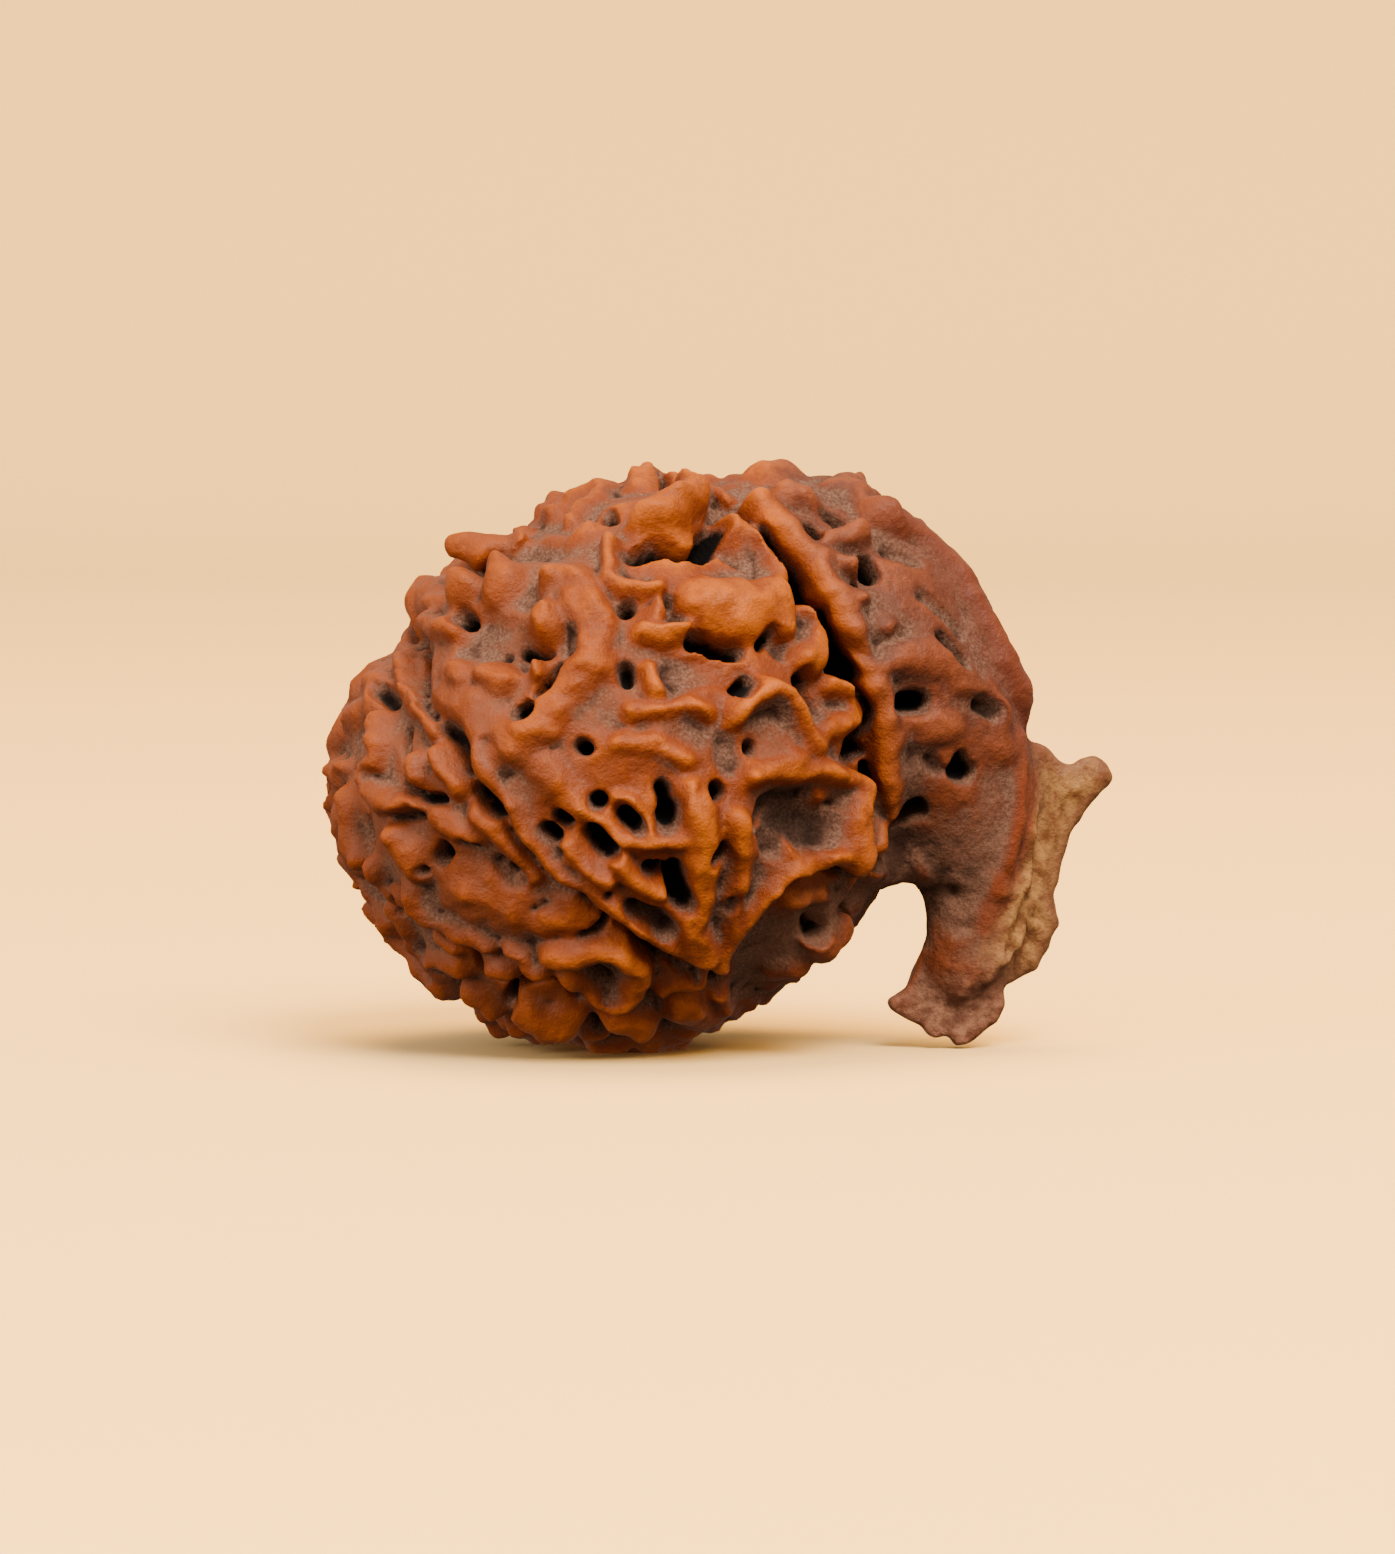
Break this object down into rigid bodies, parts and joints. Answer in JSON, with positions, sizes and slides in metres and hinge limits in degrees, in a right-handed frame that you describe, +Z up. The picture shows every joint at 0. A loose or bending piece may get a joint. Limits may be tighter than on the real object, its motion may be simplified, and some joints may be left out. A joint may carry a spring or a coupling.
{
  "type": "trunked rudraksha seed",
  "caption": "Natural woody fruit stone: a round knobbly body with deep pits and furrows, and a curved tapering trunk with a thin frilled edge.",
  "frame": {"origin": "centre of the small flat spot that the round body rests on", "axes": "+Z up from the resting surface, +X from the body towards the trunk, -Y towards the side shown in the picture"},
  "size_m": [0.0294, 0.0223, 0.0218],
  "materials": {
    "shell": "natural, worn to a soft wax shine on the ridges and dusty in the hollows"
  },
  "bodies": {
    "root": {"seed": "shell"}
  },
  "joints": []
}
